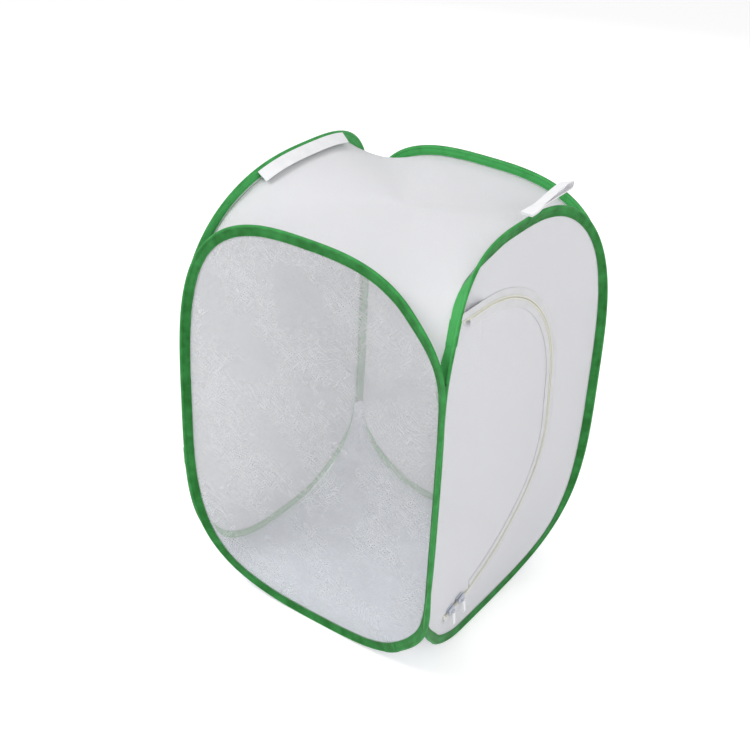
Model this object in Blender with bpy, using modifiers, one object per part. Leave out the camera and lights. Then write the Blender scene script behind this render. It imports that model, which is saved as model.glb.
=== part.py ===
# Pop-up insect cage: four spring-wire panels in folded binding, net, film and a zipped door flap.
import math

import bmesh
import bpy
from mathutils import Matrix, Vector

# Sizes in metres. The cage stands on z = 0, centred on the origin, its film window facing -Y.
CAGE_WIDTH = 0.401            # between the corner lines, along both sides
CAGE_HEIGHT = 0.600           # from the floor to the top of a panel, before its own rise
WIRE_WIDTH_POWER_SHARE = 2.81    # how square a loop is across
WIRE_HEIGHT_POWER_SHARE = 3.44   # how square a loop is up and down
STATIONS = 40                 # cross-sections round one loop, a multiple of four

CLEARANCE = 0.0003            # gap left between two pieces that touch
WIRE_RADIUS = 0.0010          # spring steel wire
CRIMP_GAP = 0.0002            # wire to crimp sleeve
SLEEVE_WALL = 0.00035
SLEEVE_LENGTH = 0.024
SLEEVE_GAP = 0.00015          # crimp sleeve to binding
WIRE_END_GAP = 0.001          # between the wire's two ends, inside the sleeve

TAPE_THICKNESS = 0.0005       # binding tape
BAND_WIDTH = 0.0135           # the folded binding, from its fold to its open edge
CLOTH_THICKNESS = 0.0005      # film, net and floor cloth
CLOTH_TUCK = 0.0080           # how far a cloth's edge reaches into the binding
CORNER_TWIST = math.radians(45)  # the bindings turn face to face down the corners
CORNER_POWER_SHARE = 8        # how quickly the turn dies away from a corner
ARM_TURN = math.radians(80)   # the corner net pulls the door binding round to face it
ARM_RISE = (math.radians(100), math.radians(135))   # where along the arc the pull sets in
ARM_FALL = (math.radians(150), math.radians(168))   # and where it ends

# How far each panel's top and bottom arc leans into the cage, and how much its top arc rises
PANELS = {
    "window": {"turn": 0, "top_lean": 0.0048, "bottom_lean": 0.0394, "rise": -0.0065},
    "door": {"turn": 90, "top_lean": 0.0330, "bottom_lean": 0.0372, "rise": -0.0006},
    "back": {"turn": 180, "top_lean": 0.0036, "bottom_lean": 0.0262, "rise": -0.0223},
    "left": {"turn": 270, "top_lean": 0.0418, "bottom_lean": 0.0048, "rise": 0.0147},
}

# Door flap and zip, on a flat part of the door net; y runs along the door, z up
DOOR_DEPTH = 0.0213           # how far the flat part lies inside the corner line
ZIP_TOP = 0.526
ZIP_TOP_RADIUS = 0.195
ZIP_SLANT = math.radians(4.7)  # the side run leans in towards the top by this
ZIP_SIDE = 0.1027             # how far right of the door's middle the zip reaches
ZIP_CORNER_RADIUS = 0.1496
ZIP_CORNER_HEIGHT = 0.2761    # of the corner arc's centre
ZIP_CORNER_END = math.radians(-46)     # where the corner arc passes into the low arc
ZIP_LOW_RADIUS = 0.3095
ZIP_START = -0.132            # where the zip starts, along its top run
FLAP_LOW_RUN = 0.15071        # low arc's start to where the flap's free edge ends
ZIP_LOW_RUN = 0.20527         # low arc's start to where the zip's tape ends
SLIDER_LOW_RUNS = (0.19068, 0.16692)   # low arc's start to each slider
ZIP_CHORD = 0.018             # longest straight piece of an arc

ROW_GAP = 0.0018              # between the two rows of teeth
ROW_WIDTH = 0.0021
ROW_THICKNESS = 0.0024
ZIP_TAPE_WIDTH = 0.0085
ZIP_TAPE_THICKNESS = 0.0005
NET_EDGE = 0.0070             # zip's middle line to the net's cut edge
FLAT_BORDER = 0.0015          # how far the door net is flat past the zip's tape
FLAP_SEAM = 0.0060            # free end of the flap's zip half to the flap's fold
FOLD_GAP = 0.0006             # between the flap and the net round it, along the fold

SLIDER_LENGTH = 0.0130
SLIDER_PLATE = 0.0009
SLIDER_LIP_WIDTH = 0.0010
SLIDER_PLAY = 0.0005          # slider to teeth and tape
SLIDER_WEB = 0.0004           # the wedge between a slider's two plates
SLIDER_NOSE_FLARE_SHARE = 0.14
BAIL_RADIUS = 0.0005
BAIL_LENGTH = 0.0066
BAIL_HEIGHT = 0.0026          # slider's face to the middle of the bail's bar
PULL_RING_RADIUS = 0.00175
PULL_RING_WIRE = 0.0005
PULL_LENGTH = 0.0230
PULL_WIDTH = 0.0045
PULL_THICKNESS = 0.0011
STOP_LENGTH = 0.0022

# Roof net and floor cloth hang from the bindings' inner edges
CORNER_NET_ROWS = 6           # stations of each binding's end that a corner net joins
SLACK_ROUNDS = 16             # how long the nets settle between their rims

STRAP_WIDTH = 0.0160          # webbing carry handles
STRAP_THICKNESS = 0.0014
LEFT_STRAP_START = -0.079     # the left panel's handle runs from here to there
LEFT_STRAP_END = 0.092
LEFT_STRAP_TILT = math.radians(50)
LEFT_STRAP_POINTS = 13
DOOR_STRAP_START = 0.012      # the door panel's handle is a flat loop, sewn on top of its arc here
DOOR_STRAP_SEWN = 0.020
DOOR_STRAP_CLIMB = 0.016      # from the sewn part to where the loop is free
DOOR_STRAP_OPEN = 0.100       # where the loop's two layers are furthest apart
DOOR_STRAP_TIP = 0.122
DOOR_STRAP_BOW = 0.005        # radius of the bend at its tip
DOOR_STRAP_RISE = 0.0050      # the lower layer over the wire's highest place
DOOR_STRAP_TILT = math.radians(20)   # its inner edge hangs lower where it is free
DOOR_STRAP_OVERHANG = 0.004   # outer edge past the wire where it is sewn
DOOR_STRAP_POINTS = 4

# Worked out from the sizes above
HALF = CAGE_WIDTH / 2
STEP = 2 * math.pi / STATIONS
FLAT_SHARE = math.cos(math.pi / 6)      # a six-sided tube's flats against its corners
SLEEVE_INNER = WIRE_RADIUS + CRIMP_GAP
SLEEVE_OUTER = SLEEVE_INNER + SLEEVE_WALL
BORE = (SLEEVE_OUTER + SLEEVE_GAP) / FLAT_SHARE
FOLD_OUTER = BORE + TAPE_THICKNESS / FLAT_SHARE
FOOT = FOLD_OUTER * FLAT_SHARE          # wire's middle to the flat under it
LEG_INNER = CLOTH_THICKNESS / 2 + CLEARANCE
LEG_OUTER = LEG_INNER + TAPE_THICKNESS
LEG_END = BAND_WIDTH - FOOT             # wire's middle to the binding's open edge
CLOTH_EDGE = LEG_END - CLOTH_TUCK       # wire's middle to the cloth's hidden edge
CORNER_SHIFT = (FOOT + CLEARANCE) * math.sin(CORNER_TWIST)
ZIP_FACE = DOOR_DEPTH - CLOTH_THICKNESS / 2 - CLEARANCE - ZIP_TAPE_THICKNESS / 2
ROW_INNER = ROW_GAP / 2
ROW_OUTER = ROW_INNER + ROW_WIDTH
ZIP_TAPE_INNER = ROW_OUTER + CLEARANCE
ZIP_TAPE_OUTER = ZIP_TAPE_INNER + ZIP_TAPE_WIDTH
FLAP_END_ANGLE = ZIP_CORNER_END - FLAP_LOW_RUN / ZIP_LOW_RADIUS
ZIP_END_ANGLE = ZIP_CORNER_END - ZIP_LOW_RUN / ZIP_LOW_RADIUS
SLIDER_ANGLES = [ZIP_CORNER_END - run / ZIP_LOW_RADIUS for run in SLIDER_LOW_RUNS]
TAIL_ANGLE = ZIP_END_ANGLE - 3 * STOP_LENGTH / ZIP_LOW_RADIUS   # end of the net's slot

parts = bpy.data.collections.new("insect_cage")
cutters = bpy.data.collections.new("cutters")


def clear_scene():
    for thing in list(bpy.data.objects):
        bpy.data.objects.remove(thing, do_unlink=True)
    bpy.context.scene.collection.children.link(parts)
    bpy.context.scene.collection.children.link(cutters)


def material(name, color, roughness, metallic=0.0, alpha=1.0):
    made = bpy.data.materials.new(name)
    made.use_nodes = True
    shader = made.node_tree.nodes["Principled BSDF"]
    shader.inputs["Base Color"].default_value = (*color, 1.0)
    shader.inputs["Roughness"].default_value = roughness
    shader.inputs["Metallic"].default_value = metallic
    shader.inputs["Alpha"].default_value = alpha
    return made


def piece(name, mesh, color, roughness, metallic=0.0, alpha=1.0, home=parts):
    """A named object with its own material, in the cage's collection."""
    made = bpy.data.objects.new(name, mesh)
    home.objects.link(made)
    mesh.materials.clear()
    mesh.materials.append(material(name, color, roughness, metallic, alpha))
    return made


GREEN = (0.060, 0.300, 0.090)
WHITE = (0.780, 0.780, 0.800)
FILM = (0.650, 0.680, 0.700)
STEEL = (0.450, 0.450, 0.460)
CREAM = (0.760, 0.750, 0.650)


def signed_power(value, power):
    return math.copysign(abs(value) ** power, value)


def across_and_up(angle):
    """A loop's unit outline: how far across and how far up its wire is at an angle."""
    across = signed_power(math.cos(angle), 2 / WIRE_WIDTH_POWER_SHARE)
    up = signed_power(math.sin(angle), 2 / WIRE_HEIGHT_POWER_SHARE)
    return across, up


LOWEST = across_and_up(-math.pi / 2 + STEP / 2)[1]


def wire_point(panel, angle):
    """The wire's middle in the panel's frame: u along it, w into the cage, z up."""
    across, up = across_and_up(angle)
    rise = math.sin(angle)
    lean = panel["top_lean"] if rise > 0 else panel["bottom_lean"]
    corner = abs(across) ** CORNER_POWER_SHARE
    u = across * (HALF - CORNER_SHIFT)
    w = lean * rise ** 2 - CORNER_SHIFT * corner
    z = FOOT + (CAGE_HEIGHT - 2 * FOOT) * (up - LOWEST) / 2 + panel["rise"] * max(rise, 0.0) ** 2
    return Vector((u, w, z))


def eased(angle, span):
    """Nought before a span of angles, one after it, and an even change between."""
    share = min(max((angle - span[0]) / (span[1] - span[0]), 0.0), 1.0)
    return share ** 2 * (3 - 2 * share)


def section_axes(panel, angle):
    """Across a binding: its fold's way to the cloth, and its face's normal into the cage."""
    near = STEP / 100
    along = (wire_point(panel, angle + near) - wire_point(panel, angle - near)).normalized()
    flat = Vector((-along.z, 0.0, along.x)).normalized()
    corner = abs(across_and_up(angle)[0]) ** CORNER_POWER_SHARE
    twist = CORNER_TWIST * corner
    if panel["turn"] == PANELS["door"]["turn"]:
        pulled = eased(angle, ARM_RISE) * (1 - eased(angle, ARM_FALL))
        twist += (ARM_TURN - twist) * pulled
    to_cloth = flat * math.cos(twist) + Vector((0.0, 1.0, 0.0)) * math.sin(twist)
    to_cloth = (to_cloth - along * to_cloth.dot(along)).normalized()
    normal = to_cloth.cross(along)
    return to_cloth, normal


def in_cage(panel, point):
    """A point of the panel's frame in the cage's."""
    return Matrix.Rotation(math.radians(panel["turn"]), 3, "Z") @ Vector(
        (point.x, point.y - HALF, point.z)
    )


def station_angles():
    return [(index + 0.5) * STEP - math.pi / 2 for index in range(STATIONS)]


def station(panel, angle, reach, offset=0.0):
    """A place on a binding's section: reach towards the cloth, offset along its normal."""
    to_cloth, normal = section_axes(panel, angle)
    return in_cage(panel, wire_point(panel, angle) + to_cloth * reach + normal * offset)


def loft(name, rings, closed_rings=True, closed_run=True, hub=None, turned=()):
    """A skin over rings of matching points; a hub closes the last ring with a fan.

    Strips in turned are split along their other diagonal, so that a tape's two legs
    and the cloth between them bend alike.
    """
    mesh = bpy.data.meshes.new(name)
    work = bmesh.new()
    rows = [[work.verts.new(point) for point in ring] for ring in rings]
    pairs = list(zip(rows, rows[1:]))
    if closed_run:
        pairs.append((rows[-1], rows[0]))
    count = len(rows[0])
    last = count if closed_rings else count - 1
    for first, second in pairs:
        for index in range(last):
            after = (index + 1) % count
            if index in turned:
                work.faces.new((first[index], first[after], second[index]))
                work.faces.new((first[after], second[after], second[index]))
            else:
                work.faces.new((first[index], first[after], second[after]))
                work.faces.new((first[index], second[after], second[index]))
    if hub is not None:
        middle = work.verts.new(hub)
        for index in range(count):
            work.faces.new((rows[-1][index], rows[-1][(index + 1) % count], middle))
    elif closed_rings and not closed_run:
        work.faces.new(rows[0])
        work.faces.new(rows[-1])
    bmesh.ops.recalc_face_normals(work, faces=work.faces)
    work.to_mesh(mesh)
    work.free()
    return mesh


def finish_thickness(obj, thickness):
    """Gives an open cloth its thickness, half to each side."""
    shell = obj.modifiers.new("cloth", "SOLIDIFY")
    shell.thickness = thickness
    shell.offset = 0.0
    return obj


def binding_section():
    """The folded tape's outline: out over the wire and back inside it, as (reach, offset)."""
    corners = [math.radians(degrees) for degrees in (96, 30)]
    half = []
    for radius, leg in ((FOLD_OUTER, LEG_OUTER), (BORE, LEG_INNER)):
        neck = math.sqrt(radius ** 2 - leg ** 2)
        run = [(LEG_END, leg), (CLOTH_EDGE, leg), (neck, leg)]
        run += [(-radius * math.cos(turn), radius * math.sin(turn)) for turn in corners]
        half.append(run + [(reach, -offset) for reach, offset in reversed(run)])
    return half[0] + half[1][::-1]


def add_binding(name, panel):
    section = binding_section()
    rings = [
        [station(panel, angle, reach, offset) for reach, offset in section]
        for angle in station_angles()
    ]
    inward = [
        index
        for index, spot in enumerate(section)
        if spot[0] > section[(index + 1) % len(section)][0]
    ]
    mesh = loft(name + "_binding", rings, turned=inward)
    piece(name + "_binding", mesh, GREEN, 0.75)


def mesh_from_curve(name, curve):
    """A curve's solid as a mesh with its caps welded on."""
    holder = bpy.data.objects.new(name, curve)
    bpy.context.scene.collection.objects.link(holder)
    graph = bpy.context.evaluated_depsgraph_get()
    mesh = bpy.data.meshes.new_from_object(holder.evaluated_get(graph))
    mesh.transform(holder.matrix_world)
    bpy.data.objects.remove(holder, do_unlink=True)
    work = bmesh.new()
    work.from_mesh(mesh)
    bmesh.ops.remove_doubles(work, verts=work.verts, dist=CLEARANCE / 100)
    bmesh.ops.recalc_face_normals(work, faces=work.faces)
    work.to_mesh(mesh)
    work.free()
    mesh.name = name
    return mesh


def tube(name, points, radius, resolution=2):
    curve = bpy.data.curves.new(name, "CURVE")
    curve.dimensions = "3D"
    curve.bevel_depth = radius
    curve.bevel_resolution = resolution
    curve.use_fill_caps = True
    spline = curve.splines.new("POLY")
    spline.points.add(len(points) - 1)
    for spot, point in zip(spline.points, points):
        spot.co = (*point, 1.0)
    return mesh_from_curve(name, curve)


def add_wire(name, panel):
    """The spring wire: one loop whose two ends meet in the sleeve under the bottom arc."""
    angles = station_angles()
    loop = [station(panel, angle, 0.0) for angle in angles]
    middle = (loop[-1] + loop[0]) / 2
    back = (loop[-1] - middle).normalized() * WIRE_END_GAP / 2
    points = [middle - back] + loop + [middle + back]
    piece(name + "_wire", tube(name + "_wire", points, WIRE_RADIUS, 1), STEEL, 0.35, 1.0)


def add_sleeve(name, panel):
    """The crimp sleeve round the wire's joint."""
    angles = station_angles()
    first = station(panel, angles[-1], 0.0)
    second = station(panel, angles[0], 0.0)
    middle = (first + second) / 2
    profile = bpy.data.meshes.new(name + "_sleeve")
    work = bmesh.new()
    half = SLEEVE_LENGTH / 2
    radii = (SLEEVE_INNER, SLEEVE_INNER, SLEEVE_OUTER, SLEEVE_OUTER)
    heights = (half, -half, -half, half)
    spots = [work.verts.new((radius, 0.0, height)) for radius, height in zip(radii, heights)]
    for index, spot in enumerate(spots):
        work.edges.new((spot, spots[(index + 1) % len(spots)]))
    work.to_mesh(profile)
    work.free()
    made = piece(name + "_sleeve", profile, STEEL, 0.45, 1.0)
    made.location = middle
    made.rotation_euler = (second - first).to_track_quat("Z", "Y").to_euler()
    turn = made.modifiers.new("turned", "SCREW")
    turn.steps = 12
    turn.render_steps = 12
    turn.use_merge_vertices = True
    turn.merge_threshold = CLEARANCE / 100
    turn.use_normal_calculate = True
    turn.use_normal_flip = True


def rim_rings(panel):
    """A cloth's hidden edge, the binding's open edge, and a place just clear of it."""
    reaches = (CLOTH_EDGE, LEG_END, LEG_END + CLOTH_TUCK / 4)
    return [[station(panel, angle, reach) for angle in station_angles()] for reach in reaches]


def panel_middle(panel):
    """The middle of a stretched panel cloth, as far in as its rim is on average."""
    lean = (panel["top_lean"] + panel["bottom_lean"]) / 4
    top = wire_point(panel, math.pi / 2).z
    return Vector((0.0, lean, (top + FOOT) / 2))


def stretched_point(panel, rim, share):
    """A point of a cloth stretched like a soap film, at a share of the way out to its rim."""
    middle = panel_middle(panel)
    spot = middle.lerp(rim, share)
    spot.y = middle.y * (1 - share ** 2) + rim.y * share ** 2
    return spot


def add_panel_cloth(node, panel, color, roughness, alpha):
    """A panel's cloth: tucked into the binding and stretched over its leaning loop."""
    back = Matrix.Rotation(-math.radians(panel["turn"]), 3, "Z")
    rings = rim_rings(panel)
    local = [back @ point + Vector((0.0, HALF, 0.0)) for point in rings[-1]]
    for share in (0.72, 0.38):
        rings.append([in_cage(panel, stretched_point(panel, rim, share)) for rim in local])
    mesh = loft(node, rings, closed_run=False, hub=in_cage(panel, panel_middle(panel)))
    finish_thickness(piece(node, mesh, color, roughness, 0.0, alpha), CLOTH_THICKNESS)


def on_door(y, z, depth=DOOR_DEPTH):
    """A place on the door's flat part, depth into the cage from the corner line."""
    return Vector((HALF - depth, y, z))


def heading(turn):
    return Vector((math.cos(turn), math.sin(turn)))


def zip_centres():
    """The centres of the zip's top, corner and low arcs, each arc running on from the last."""
    slant = heading(ZIP_SLANT)
    corner = Vector((ZIP_SIDE - ZIP_CORNER_RADIUS, ZIP_CORNER_HEIGHT))
    top_z = ZIP_TOP - ZIP_TOP_RADIUS
    reach = slant.dot(corner) + ZIP_CORNER_RADIUS - ZIP_TOP_RADIUS
    top = Vector(((reach - slant.y * top_z) / slant.x, top_z))
    low = corner + heading(ZIP_CORNER_END) * (ZIP_CORNER_RADIUS - ZIP_LOW_RADIUS)
    return top, corner, low


LOW_CENTRE = zip_centres()[2]


def zip_run(side, start=ZIP_START, end=ZIP_END_ANGLE):
    """The zip's line moved sideways, out of the flap where side is positive, as (y, z)."""
    top, corner, low = zip_centres()
    points = [Vector((start, ZIP_TOP + side))]
    top_turn = math.pi / 2
    if start > top.x:                   # the run starts on the top arc itself
        top_turn = math.acos((start - top.x) / (ZIP_TOP_RADIUS + side))
        points.clear()
    for centre, radius, first, last in (
        (top, ZIP_TOP_RADIUS, top_turn, ZIP_SLANT),
        (corner, ZIP_CORNER_RADIUS, ZIP_SLANT, ZIP_CORNER_END),
        (low, ZIP_LOW_RADIUS, ZIP_CORNER_END, end),
    ):
        steps = math.ceil((first - last) * radius / ZIP_CHORD)
        if centre is low:
            points.pop()
        for index in range(steps + 1):
            turn = first + (last - first) * index / steps
            points.append(centre + heading(turn) * (radius + side))
    return points


def fold_line():
    """The two ends of the flap's fold, where it meets the zip's line."""
    low = LOW_CENTRE + heading(FLAP_END_ANGLE) * ZIP_LOW_RADIUS
    return Vector((ZIP_START, ZIP_TOP)), low


def flat_solid(name, outline, thickness, depth, color, roughness, metallic=0.0):
    """An outline on the door's flat part, given a thickness about its own depth."""
    curve = bpy.data.curves.new(name, "CURVE")
    curve.dimensions = "2D"
    curve.fill_mode = "BOTH"
    curve.extrude = thickness / 2
    spline = curve.splines.new("POLY")
    spline.points.add(len(outline) - 1)
    spline.use_cyclic_u = True
    for spot, point in zip(spline.points, outline):
        spot.co = (point[0], point[1], 0.0, 1.0)
    mesh = mesh_from_curve(name, curve)
    stand = Matrix(((0, 0, 1, HALF - depth), (1, 0, 0, 0), (0, 1, 0, 0), (0, 0, 0, 1)))
    mesh.transform(stand)
    return piece(name, mesh, color, roughness, metallic)


def zip_strip(name, inner, outer, thickness, color, start=ZIP_START, end=ZIP_END_ANGLE):
    """A band that runs along the zip, from inner to outer beside its middle line."""
    outline = zip_run(inner, start, end) + zip_run(outer, start, end)[::-1]
    return flat_solid(name, outline, thickness, ZIP_FACE, color, 0.6)


def fold_side():
    """The flap's side of its fold, as a direction across the fold."""
    top, low = fold_line()
    along = (low - top).normalized()
    return Vector((-along.y, along.x))


def cut_by_fold(run, spot, across):
    """A run's parts on the flap's side of the fold and past the fold's low end."""
    kept = [index for index, point in enumerate(run) if (point - spot).dot(across) > 0]
    first = crossing(spot, across, run[kept[0] - 1], run[kept[0]])
    last = crossing(spot, across, run[kept[-1]], run[kept[-1] + 1])
    flap_side = [run[index] for index in kept]
    return [first] + flap_side + [last], [last] + run[kept[-1] + 1:]


def crossing(spot, across, first, second):
    """Where the run from first to second meets the line through spot square to across."""
    from_line = (first - spot).dot(across)
    to_line = (second - spot).dot(across)
    return first + (second - first) * from_line / (from_line - to_line)


def flap_outline():
    """The flap's cut edge: beside the zip, and straight along the fold."""
    across = fold_side()
    spot = fold_line()[0] + across * FOLD_GAP / 2
    return cut_by_fold(zip_run(-NET_EDGE, ZIP_START - NET_EDGE), spot, across)[0]


def hole_outline(edge, past_fold, end):
    """An outline round the flap and along the zip's low end, edge away from the zip."""
    across = fold_side()
    spot = fold_line()[0] - across * past_fold
    outer = zip_run(edge, ZIP_START - edge, end)
    inner = zip_run(-edge, ZIP_START - edge, end)
    round_flap, outer_tail = cut_by_fold(outer, spot, across)
    inner_tail = cut_by_fold(inner, spot, across)[1]
    return round_flap[:-1] + outer_tail[1:] + inner_tail[::-1]


def closed_edges(work, verts):
    """The edges round a closed run of vertices, made where they are missing."""
    found = []
    for index, vert in enumerate(verts):
        pair = (vert, verts[(index + 1) % len(verts)])
        found.append(work.edges.get(pair) or work.edges.new(pair))
    return found


def add_door_nets():
    """The door's net round the flap, and the flap that the zip frees."""
    panel = PANELS["door"]
    rings = rim_rings(panel)
    tail = TAIL_ANGLE - FLAT_BORDER / ZIP_LOW_RADIUS
    flat_edge = ZIP_TAPE_OUTER + FLAT_BORDER
    outlines = [
        hole_outline(flat_edge, FLAT_BORDER, tail),
        hole_outline(NET_EDGE, FOLD_GAP / 2, TAIL_ANGLE),
    ]
    mesh = bpy.data.meshes.new("door_net")
    work = bmesh.new()
    rows = [[work.verts.new(point) for point in ring] for ring in rings]
    for outer, inner in zip(rows, rows[1:]):
        for index in range(STATIONS):
            after = (index + 1) % STATIONS
            work.faces.new((outer[index], outer[after], inner[after]))
            work.faces.new((outer[index], inner[after], inner[index]))
    rims = [rows[-1]]
    rims += [[work.verts.new(on_door(*point)) for point in outline] for outline in outlines]
    for outer, inner in zip(rims, rims[1:]):
        both = closed_edges(work, outer) + closed_edges(work, inner)
        bmesh.ops.triangle_fill(work, use_beauty=True, edges=both, normal=(1.0, 0.0, 0.0))
    bmesh.ops.recalc_face_normals(work, faces=work.faces)
    work.to_mesh(mesh)
    work.free()
    finish_thickness(piece("door_net", mesh, WHITE, 0.85), CLOTH_THICKNESS)
    flat_solid("door_flap", flap_outline(), CLOTH_THICKNESS, DOOR_DEPTH, WHITE, 0.85)


def add_zip():
    start = ZIP_START + FLAP_SEAM
    end = FLAP_END_ANGLE + FLAP_SEAM / ZIP_LOW_RADIUS
    tape = (ZIP_TAPE_INNER, ZIP_TAPE_OUTER, ZIP_TAPE_THICKNESS)
    row = (ROW_INNER, ROW_OUTER, ROW_THICKNESS)
    zip_strip("zip_tape_outer", *tape, CREAM)
    zip_strip("zip_teeth_outer", *row, CREAM)
    zip_strip("zip_tape_inner", -tape[1], -tape[0], tape[2], CREAM, start, end)
    zip_strip("zip_teeth_inner", -row[1], -row[0], row[2], CREAM, start, end)


def zip_frame(angle):
    """A slider's frame on the low arc: x along the zip, y away from the flap, z out."""
    away = Vector((0.0, math.cos(angle), math.sin(angle)))
    out = Vector((1.0, 0.0, 0.0))
    along = away.cross(out)
    place = on_door(*LOW_CENTRE, ZIP_FACE) + away * ZIP_LOW_RADIUS
    frame = Matrix((along, away, out)).transposed().to_4x4()
    frame.translation = place
    return frame


def slider_section():
    """Two plates on a web, with lips that leave a slot for the tape, as (y, z)."""
    inside = ROW_THICKNESS / 2 + SLIDER_PLAY
    outside = inside + SLIDER_PLATE
    slot = ZIP_TAPE_THICKNESS / 2 + SLIDER_PLAY
    lip = ROW_OUTER + SLIDER_PLAY
    edge = lip + SLIDER_LIP_WIDTH
    web = SLIDER_WEB / 2
    quarter = [(web, inside), (lip, inside), (lip, slot), (edge, slot), (edge, outside)]
    right = [(y, -z) for y, z in quarter[::-1]] + quarter
    return right + [(-y, z) for y, z in quarter[::-1]] + [(-y, -z) for y, z in quarter]


def join_with(obj, other):
    """Joins another solid to an object and drops the other."""
    join = obj.modifiers.new("joined", "BOOLEAN")
    join.operation = "UNION"
    join.solver = "EXACT"
    join.object = other
    graph = bpy.context.evaluated_depsgraph_get()
    mesh = bpy.data.meshes.new_from_object(obj.evaluated_get(graph))
    obj.modifiers.remove(join)
    old = obj.data
    obj.data = mesh
    bpy.data.meshes.remove(old)
    bpy.data.objects.remove(other, do_unlink=True)


def add_slider(name, angle):
    """A zip slider with its bail, on the teeth at an angle of the low arc."""
    section = slider_section()
    half = SLIDER_LENGTH / 2
    rings = []
    for along, flare in ((-half, SLIDER_NOSE_FLARE_SHARE), (0.0, 0.0), (half, 0.0)):
        rings.append([Vector((along, y * (1 + flare), z)) for y, z in section])
    slider = piece(name, loft(name, rings, closed_run=False), STEEL, 0.35, 1.0)
    face = ROW_THICKNESS / 2 + SLIDER_PLAY + SLIDER_PLATE
    foot = BAIL_LENGTH / 2
    shoulder = foot - BAIL_RADIUS * 2
    bar = face + BAIL_HEIGHT
    sunk = face - SLIDER_PLATE / 2
    arch = [(-foot, 0, sunk), (-foot, 0, bar - BAIL_RADIUS), (-shoulder, 0, bar)]
    arch += [(shoulder, 0, bar), (foot, 0, bar - BAIL_RADIUS), (foot, 0, sunk)]
    bail = piece(name + "_bail", tube(name + "_bail", arch, BAIL_RADIUS, 1), STEEL, 0.35, 1.0, home=cutters)
    join_with(slider, bail)
    slider.matrix_world = zip_frame(angle)


def add_pull(name, angle):
    """A pull tab: a ring round the slider's bail and a flat tab that hangs from it."""
    outline = []
    ring_steps = 10
    for index in range(ring_steps):
        turn = 2 * math.pi * index / ring_steps
        middle = Vector((0.0, math.cos(turn), math.sin(turn))) * PULL_RING_RADIUS
        outward = middle.normalized()
        ring = []
        for corner in range(6):
            roll = 2 * math.pi * corner / 6
            side = Vector((math.cos(roll), 0.0, 0.0)) + outward * math.sin(roll)
            ring.append(middle + side * PULL_RING_WIRE)
        outline.append(ring)
    pull = piece(name, loft(name, outline), WHITE, 0.6)
    top = PULL_RING_RADIUS
    strap_mesh = bpy.data.meshes.new(name + "_strap")
    work = bmesh.new()
    bmesh.ops.create_cube(work, size=1.0)
    length = PULL_LENGTH - top
    bmesh.ops.scale(work, vec=(PULL_WIDTH, length, PULL_THICKNESS), verts=work.verts)
    bmesh.ops.translate(work, vec=(0.0, top + length / 2, 0.0), verts=work.verts)
    corners = [e for e in work.edges if abs(e.verts[0].co.z - e.verts[1].co.z) > PULL_THICKNESS / 2]
    bmesh.ops.bevel(
        work, geom=corners, offset=PULL_WIDTH / 4, segments=3, profile=0.5, affect="EDGES"
    )
    work.to_mesh(strap_mesh)
    work.free()
    strap = piece(name + "_strap", strap_mesh, WHITE, 0.6, home=cutters)
    join_with(pull, strap)
    lift = ROW_THICKNESS / 2 + SLIDER_PLAY + SLIDER_PLATE + BAIL_HEIGHT
    pull.matrix_world = zip_frame(angle) @ Matrix.Translation((0.0, 0.0, lift))


def add_stops():
    """The tacks that close the zip's two ends, across its teeth."""
    gap = (STOP_LENGTH / 2 + CLEARANCE) / ZIP_LOW_RADIUS
    middle = ZIP_END_ANGLE - gap
    half = STOP_LENGTH / 2 / ZIP_LOW_RADIUS
    outline = []
    for side, turns in ((-ROW_OUTER, (middle - half, middle + half)), (ROW_OUTER, (middle + half, middle - half))):
        for turn in turns:
            outline.append(LOW_CENTRE + heading(turn) * (ZIP_LOW_RADIUS + side))
    flat_solid("zip_stop_low", outline, ROW_THICKNESS, ZIP_FACE, CREAM, 0.6)
    left = ZIP_START + FLAP_SEAM - CLEARANCE - STOP_LENGTH
    right = left + STOP_LENGTH
    base = ZIP_TOP - ROW_OUTER
    peak = ZIP_TOP + ROW_INNER - CLEARANCE
    outline = [(left, base), (right, base), (right, peak), (left, peak)]
    flat_solid("zip_stop_top", outline, ROW_THICKNESS, ZIP_FACE, CREAM, 0.6)


def rim_angles(top):
    """The stations a hung cloth is sewn along, from a panel's left end to its right."""
    angles = sorted((a for a in station_angles() if 0 < a < math.pi), reverse=True)[1:-1]
    return angles if top else [-angle for angle in angles]


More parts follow.
